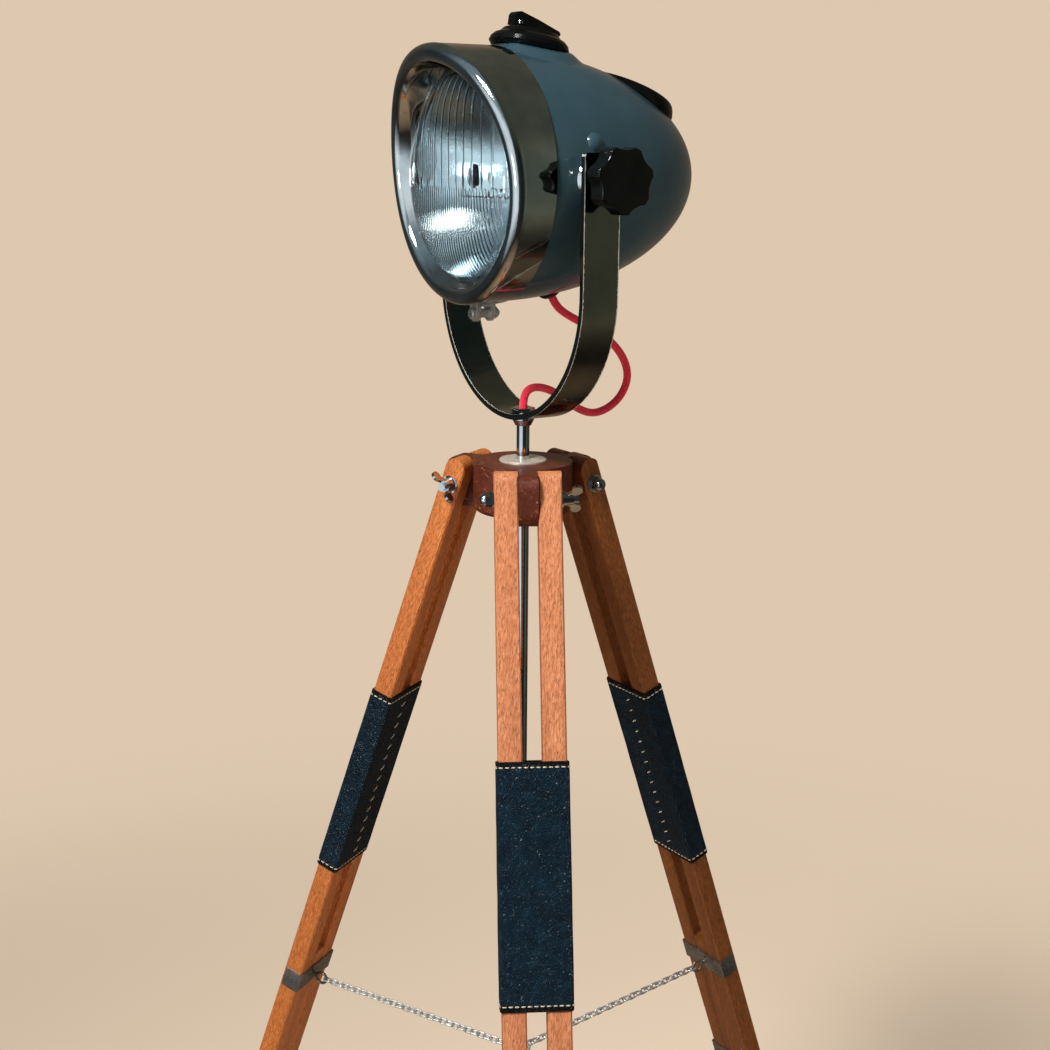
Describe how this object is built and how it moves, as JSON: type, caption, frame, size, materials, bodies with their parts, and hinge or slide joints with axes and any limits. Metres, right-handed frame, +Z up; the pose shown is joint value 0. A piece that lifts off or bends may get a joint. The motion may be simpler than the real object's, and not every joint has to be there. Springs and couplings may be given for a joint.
{
  "type": "tripod floor lamp",
  "caption": "Round headlamp with glass lens, chrome rim and top instrument, tilting in a strap yoke over a folding slatted wooden tripod with chains and leather sleeves.",
  "frame": {"origin": "on the floor, at the centre of the standing lamp's bounding box seen from above, cord left out", "axes": "+Z up along the column; leg 1 points along -Y; at rest the lens faces -X and a little -Y"},
  "size_m": [0.737, 0.7263, 1.377],
  "materials": {
    "tongue_wood": "satin oiled",
    "bar_wood": "satin oiled",
    "leather": "pebbled, waxed",
    "chrome": "polished",
    "zinc": "bright zinc",
    "dark_nickel": "polished black nickel",
    "paint": "gloss",
    "bakelite": "gloss",
    "glass": "clear, fluted",
    "black_steel": "gloss",
    "rubber": "matt",
    "cord": "braided",
    "mirror": "silvered",
    "dial": "printed",
    "white": "satin",
    "brass": "dull"
  },
  "bodies": {
    "hub": {"hub": "tongue_wood", "hub_bushing": "chrome", "leg_bolts": "zinc", "mains_cord": "cord", "cord_coil": "cord", "plug": "bakelite"},
    "lock_screw": {"column_lock_screw": "zinc"},
    "column": {"column_tube": "chrome", "tube_end_bush": "bakelite", "yoke_nuts": "dark_nickel", "cord_in_tube": "cord"},
    "yoke": {"yoke": "dark_nickel", "loop_cord": "cord"},
    "head": {"head_shell": "paint", "rim": "chrome", "lens": "glass", "lens_gasket": "rubber", "reflector": "mirror", "reflector_clips": "zinc", "bulb": "glass", "bulb_holder": "brass", "bulb_shield": "black_steel", "switch_base": "bakelite", "instrument_case": "black_steel", "instrument_glass": "glass", "instrument_dial": "dial", "instrument_needle": "white", "pivot_bolts": "chrome", "side_plugs": "paint", "rim_clamp_bracket": "chrome", "rim_clamp_screw": "zinc", "cable_gland": "rubber"},
    "switch_lever": {"switch_lever": "bakelite"},
    "knob_left": {"knob_left": "bakelite"},
    "knob_right": {"knob_right": "bakelite"},
    "spreader_ring": {"spreader_ring": "zinc"},
    "leg_1": {"leg_1_bars": "bar_wood", "leg_1_sleeve": "leather", "leg_1_straps": "zinc"},
    "leg_1_extension": {"leg_1_lower_bar": "bar_wood", "leg_1_foot": "rubber"},
    "leg_1_chain": {"leg_1_chain": "zinc"},
    "leg_1_wing_nut": {"leg_1_wing_nut": "zinc"},
    "leg_1_clamp_wing": {"leg_1_clamp_wing": "zinc"},
    "leg_2": {"leg_2_bars": "bar_wood", "leg_2_sleeve": "leather", "leg_2_straps": "zinc"},
    "leg_2_extension": {"leg_2_lower_bar": "bar_wood", "leg_2_foot": "rubber"},
    "leg_2_chain": {"leg_2_chain": "zinc"},
    "leg_2_wing_nut": {"leg_2_wing_nut": "zinc"},
    "leg_2_clamp_wing": {"leg_2_clamp_wing": "zinc"},
    "leg_3": {"leg_3_bars": "bar_wood", "leg_3_sleeve": "leather", "leg_3_straps": "zinc"},
    "leg_3_extension": {"leg_3_lower_bar": "bar_wood", "leg_3_foot": "rubber"},
    "leg_3_chain": {"leg_3_chain": "zinc"},
    "leg_3_wing_nut": {"leg_3_wing_nut": "zinc"},
    "leg_3_clamp_wing": {"leg_3_clamp_wing": "zinc"}
  },
  "joints": [
    {"name": "leg_1_fold", "type": "hinge", "parent": "hub", "child": "leg_1", "pos_m": [0, 0.05225, 1.02906], "axis": [1, 0, 0], "range_deg": [0, 19], "deforming": ["leg_1_chain"]},
    {"name": "leg_1_extend", "type": "slide", "parent": "leg_1", "child": "leg_1_extension", "axis": [0, -0.3297, -0.9441], "range_m": [-0.35, 0.05]},
    {"name": "leg_1_chain_swing", "type": "hinge", "parent": "leg_1", "child": "leg_1_chain", "pos_m": [0, -0.09386, 0.55683], "axis": [1, 0, 0], "range_deg": [-98, 0]},
    {"name": "leg_1_wing_nut_turn", "type": "hinge", "parent": "hub", "child": "leg_1_wing_nut", "pos_m": [0, 0.05225, 1.02906], "axis": [1, 0, 0], "range_deg": [-180, 180]},
    {"name": "leg_1_clamp_turn", "type": "hinge", "parent": "leg_1", "child": "leg_1_clamp_wing", "pos_m": [0, -0.15117, 0.44655], "axis": [0, 0.9441, -0.3297], "range_deg": [-180, 180]},
    {"name": "leg_2_fold", "type": "hinge", "parent": "hub", "child": "leg_2", "pos_m": [-0.04373, 0.128, 1.02906], "axis": [-0.5, -0.866, 0], "range_deg": [0, 19], "deforming": ["leg_2_chain"]},
    {"name": "leg_2_extend", "type": "slide", "parent": "leg_2", "child": "leg_2_extension", "axis": [-0.2855, 0.1648, -0.9441], "range_m": [-0.35, 0.05]},
    {"name": "leg_2_chain_swing", "type": "hinge", "parent": "leg_2", "child": "leg_2_chain", "pos_m": [-0.17027, 0.20106, 0.55683], "axis": [-0.5, -0.866, 0], "range_deg": [-98, 0]},
    {"name": "leg_2_wing_nut_turn", "type": "hinge", "parent": "hub", "child": "leg_2_wing_nut", "pos_m": [-0.04373, 0.128, 1.02906], "axis": [-0.5, -0.866, 0], "range_deg": [-180, 180]},
    {"name": "leg_2_clamp_turn", "type": "hinge", "parent": "leg_2", "child": "leg_2_clamp_wing", "pos_m": [-0.2199, 0.22971, 0.44655], "axis": [0.8176, -0.472, -0.3297], "range_deg": [-180, 180]},
    {"name": "leg_3_fold", "type": "hinge", "parent": "hub", "child": "leg_3", "pos_m": [0.04373, 0.128, 1.02906], "axis": [-0.5, 0.866, 0], "range_deg": [0, 19], "deforming": ["leg_3_chain"]},
    {"name": "leg_3_extend", "type": "slide", "parent": "leg_3", "child": "leg_3_extension", "axis": [0.2855, 0.1648, -0.9441], "range_m": [-0.35, 0.05]},
    {"name": "leg_3_chain_swing", "type": "hinge", "parent": "leg_3", "child": "leg_3_chain", "pos_m": [0.17027, 0.20106, 0.55683], "axis": [-0.5, 0.866, 0], "range_deg": [-98, 0]},
    {"name": "leg_3_wing_nut_turn", "type": "hinge", "parent": "hub", "child": "leg_3_wing_nut", "pos_m": [0.04373, 0.128, 1.02906], "axis": [-0.5, 0.866, 0], "range_deg": [-180, 180]},
    {"name": "leg_3_clamp_turn", "type": "hinge", "parent": "leg_3", "child": "leg_3_clamp_wing", "pos_m": [0.2199, 0.22971, 0.44655], "axis": [-0.8176, -0.472, -0.3297], "range_deg": [-180, 180]},
    {"name": "ring_drop", "type": "slide", "parent": "hub", "child": "spreader_ring", "axis": [0, 0, 1], "range_m": [-0.1985, 0]},
    {"name": "lock_screw_turn", "type": "hinge", "parent": "hub", "child": "lock_screw", "pos_m": [0, 0.10275, 1.02866], "axis": [0, 1, 0], "range_deg": [-180, 180]},
    {"name": "column_slide", "type": "slide", "parent": "hub", "child": "column", "axis": [0, 0, 1], "range_m": [-0.025, 0.15], "deforming": ["mains_cord"]},
    {"name": "yoke_pan", "type": "hinge", "parent": "column", "child": "yoke", "pos_m": [0, 0.10275, 1.26146], "axis": [0, 0, 1], "range_deg": [-150, 150]},
    {"name": "head_tilt", "type": "hinge", "parent": "yoke", "child": "head", "pos_m": [0, 0.10275, 1.26146], "axis": [0.4648, -0.8854, 0], "range_deg": [-45, 60], "deforming": ["loop_cord"]},
    {"name": "switch_turn", "type": "hinge", "parent": "head", "child": "switch_lever", "pos_m": [0.00221, 0.10391, 1.35376], "axis": [0.1537, 0.0807, 0.9848], "range_deg": [-45, 45]},
    {"name": "knob_left_turn", "type": "hinge", "parent": "head", "child": "knob_left", "pos_m": [0, 0.10275, 1.26146], "axis": [0.4648, -0.8854, 0], "range_deg": [-180, 180]},
    {"name": "knob_right_turn", "type": "hinge", "parent": "head", "child": "knob_right", "pos_m": [0, 0.10275, 1.26146], "axis": [0.4648, -0.8854, 0], "range_deg": [-180, 180]}
  ],
  "couplings": [
    {"joint": "leg_1_chain_swing", "follows": "leg_1_fold", "ratio": -5.0835},
    {"joint": "leg_2_fold", "follows": "leg_1_fold", "ratio": 1},
    {"joint": "leg_2_chain_swing", "follows": "leg_1_fold", "ratio": -5.0835},
    {"joint": "leg_3_fold", "follows": "leg_1_fold", "ratio": 1},
    {"joint": "leg_3_chain_swing", "follows": "leg_1_fold", "ratio": -5.0835},
    {"joint": "ring_drop", "follows": "leg_1_fold", "m_per_rad": -0.58343}
  ]
}
